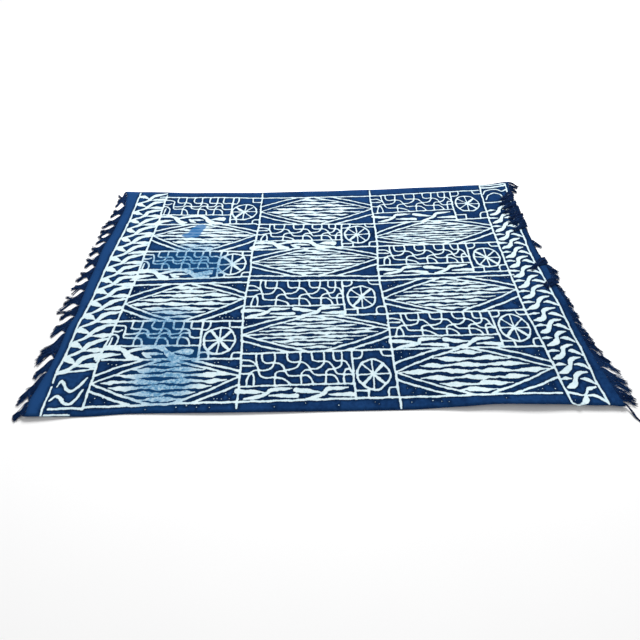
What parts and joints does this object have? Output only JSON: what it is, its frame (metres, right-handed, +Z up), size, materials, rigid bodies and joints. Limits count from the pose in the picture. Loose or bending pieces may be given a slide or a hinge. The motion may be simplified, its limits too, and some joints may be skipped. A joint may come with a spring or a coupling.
{
  "type": "ndop cloth",
  "caption": "Flat rectangular indigo cotton cloth with pale resist-dyed blocks, wheels and diamonds and a loose yarn fringe along its short ends.",
  "frame": {"origin": "middle of the cloth's underside, on the surface it lies on", "axes": "+X along the warp from the left fringe to the right fringe, +Y across it from the front edge to the back edge, +Z up out of the patterned face"},
  "size_m": [1.8476, 1.1333, 0.0144],
  "materials": {
    "indigo_cotton": "matt hand-woven cotton, resist dyed",
    "fringe_yarn": "matt loosely twisted cotton yarn"
  },
  "bodies": {
    "root": {"cloth_panel": "indigo_cotton", "fringe_left": "fringe_yarn", "fringe_right": "fringe_yarn"}
  },
  "joints": []
}
